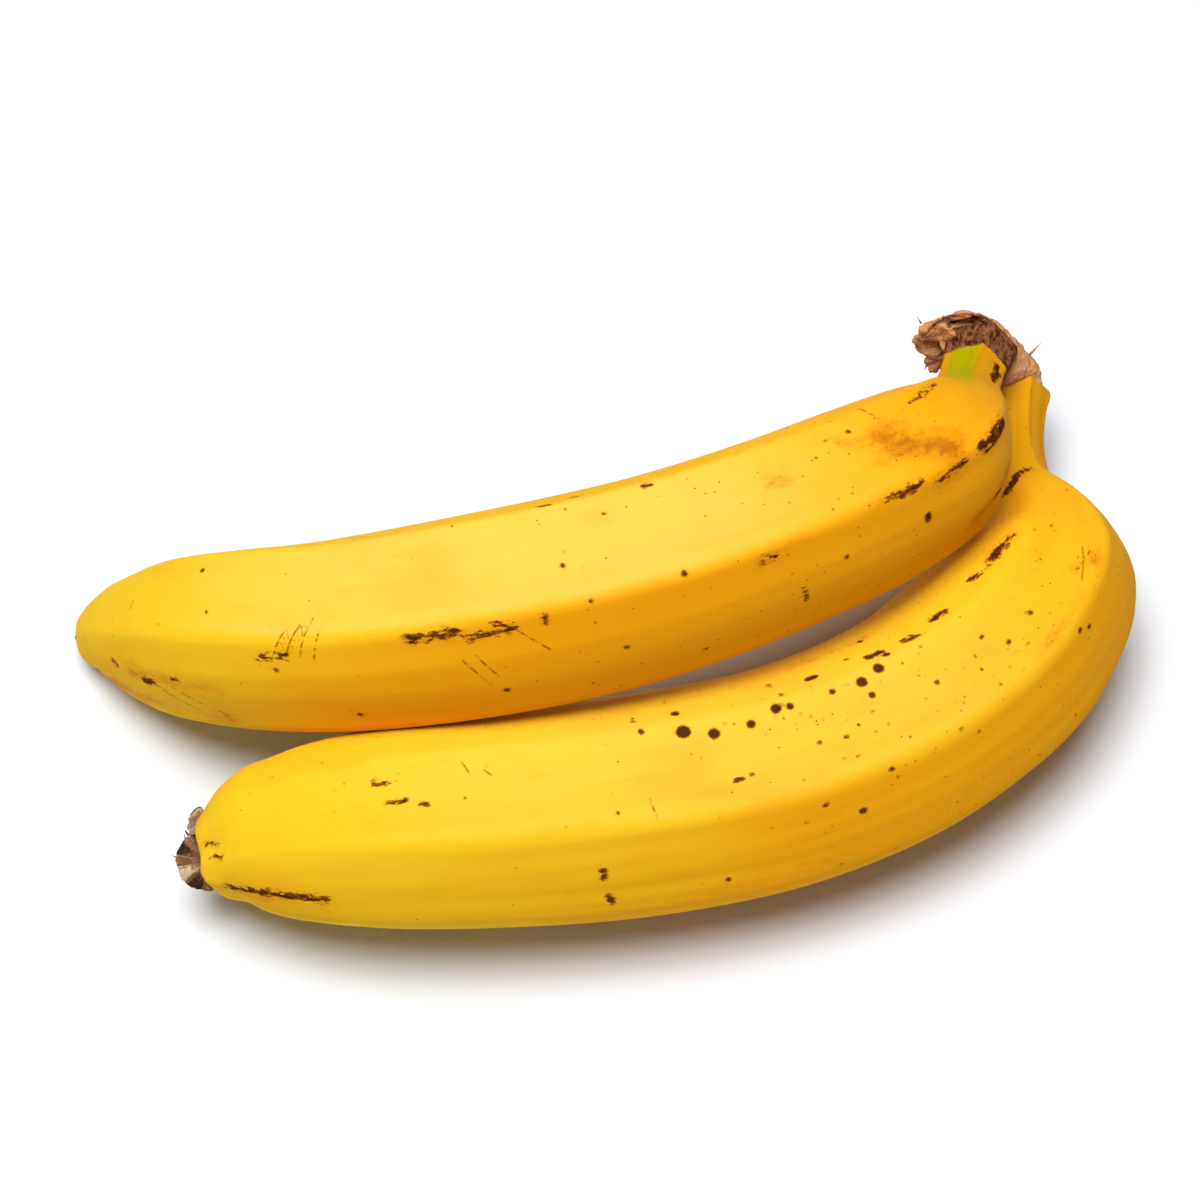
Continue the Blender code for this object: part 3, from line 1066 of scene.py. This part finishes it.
class BANANA_OT_flowers(bpy.types.Operator):
    """Shapes what is left of the flower at each banana's tip"""

    bl_idname = "banana.flowers"
    bl_label = "Withered flowers"

    def execute(self, context):
        look = context.scene.banana_dry_look
        colours = (look.flower_crevice, look.flower_middle, look.flower_pale)
        tissue = dry_material("dead flower tissue, withered", *colours, FLOWER_GRAIN)
        draw = random.Random(7)
        for side in SIDES:
            rings, _ = rings_of(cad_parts[side + "_banana"])
            tip, axis = Vector(rings[0, 0]), Vector(rings[0, 0] - rings[1].mean(axis=0)).normalized()
            solid = merged(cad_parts[side + "_blossom_end"])
            reaches = [corner.co / MM - tip for corner in solid.verts]
            solid.free()
            radius = FLOWER_SHARE * max((reach - axis * reach.dot(axis)).length for reach in reaches)
            mesh = bmesh.new()
            relief = flower_cup(mesh, radius)
            for _ in range(look.strands if side == "lower" else STRAY_STRANDS):
                loose_strand(mesh, radius, draw)
            relief += [0.7] * (len(mesh.verts) - len(relief))
            crumpled(mesh, FLOWER_OCTAVES)
            turn = axis.to_track_quat("Z", "Y").to_matrix()
            bmesh.ops.rotate(mesh, verts=mesh.verts, matrix=turn)
            bmesh.ops.translate(mesh, verts=mesh.verts, vec=(tip - axis * FLOWER_SUNK * radius) * MM)
            if side == "lower":
                torn_sheet(mesh, FLOWER_SHEET, FLOWER_SHEET_THICKNESS)
                relief += [0.6] * (len(mesh.verts) - len(relief))
            piece = finished(side + "_withered_flower", mesh, relief, tissue)
            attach(piece, "root")
            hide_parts(side + "_blossom_end")
        return {"FINISHED"}


class BANANA_OT_stage(bpy.types.Operator):
    """Sets a pale surface, soft studio light and the camera"""

    bl_idname = "banana.stage"
    bl_label = "Stage"

    def execute(self, context):
        look = context.scene.banana_stage_look
        scene = context.scene
        mesh = bmesh.new()
        bmesh.ops.create_grid(mesh, x_segments=1, y_segments=1, size=SURFACE_REACH)
        data = bpy.data.meshes.new("surface")
        mesh.to_mesh(data)
        mesh.free()
        floor = placed("surface", data)
        paper, _, shader = new_material("white paper, uncoated")  # it scatters light with no gloss
        shader.inputs["Base Color"].default_value = look.surface
        shader.inputs["Roughness"].default_value = 0.9
        data.materials.append(paper)

        target = Vector(VIEW_CENTRE) * MM
        away = Vector((0, -math.cos(look.camera_elevation), math.sin(look.camera_elevation)))
        camera = bpy.data.objects.new("camera", bpy.data.cameras.new("camera"))
        camera.data.lens = LENS
        camera.data.sensor_width = SENSOR
        camera.location = target + away * look.camera_distance
        camera.rotation_euler = away.to_track_quat("Z", "Y").to_euler()
        scene.collection.objects.link(camera)
        scene.camera = camera

        for name, (place, size, share, tint) in LAMPS.items():
            lamp = bpy.data.objects.new(name, bpy.data.lights.new(name, "AREA"))
            lamp.data.shape = "DISK"
            lamp.data.size = size
            lamp.data.energy = look.key_power * share
            lamp.data.color = linear(tint)[:3]
            lamp.location = place
            lamp.rotation_euler = Vector(place).to_track_quat("Z", "Y").to_euler()
            scene.collection.objects.link(lamp)
        world = bpy.data.worlds.new("studio")
        world.use_nodes = True
        glow = world.node_tree.nodes["Background"].inputs
        glow["Color"].default_value = linear("#ffffff")
        glow["Strength"].default_value = STUDIO_GLOW
        scene.world = world
        scene.view_settings.view_transform = "Standard"
        return {"FINISHED"}


class BANANA_PT_panel(bpy.types.Panel):
    """Lists the pieces and their sizes and colours"""

    bl_label = "Bananas"
    bl_idname = "BANANA_PT_panel"
    bl_space_type = "VIEW_3D"
    bl_region_type = "UI"
    bl_category = "Bananas"

    def draw(self, context):
        scene = context.scene
        for look, operators in (
            (scene.banana_fruit_look, ("banana.fruit",)),
            (scene.banana_dry_look, ("banana.crown", "banana.flowers")),
            (scene.banana_stage_look, ("banana.stage",)),
        ):
            for name in type(look).__annotations__:
                self.layout.prop(look, name)
            for operator in operators:
                self.layout.operator(operator)


CLASSES = (
    BananaFruitLook,
    BananaDryLook,
    BananaStageLook,
    BANANA_OT_fruit,
    BANANA_OT_crown,
    BANANA_OT_flowers,
    BANANA_OT_stage,
    BANANA_PT_panel,
)


def register():
    """Adds the pieces' operators, their sizes and colours, and the panel."""
    for item in CLASSES:
        bpy.utils.register_class(item)
    bpy.types.Scene.banana_fruit_look = bpy.props.PointerProperty(type=BananaFruitLook)
    bpy.types.Scene.banana_dry_look = bpy.props.PointerProperty(type=BananaDryLook)
    bpy.types.Scene.banana_stage_look = bpy.props.PointerProperty(type=BananaStageLook)


def unregister():
    """Takes away what register added."""
    del bpy.types.Scene.banana_fruit_look
    del bpy.types.Scene.banana_dry_look
    del bpy.types.Scene.banana_stage_look
    for item in reversed(CLASSES):
        bpy.utils.unregister_class(item)


def main():
    """Makes every piece and the stage."""
    register()
    bpy.ops.banana.fruit()
    bpy.ops.banana.crown()
    bpy.ops.banana.flowers()
    bpy.ops.banana.stage()


if __name__ == "__main__":
    main()
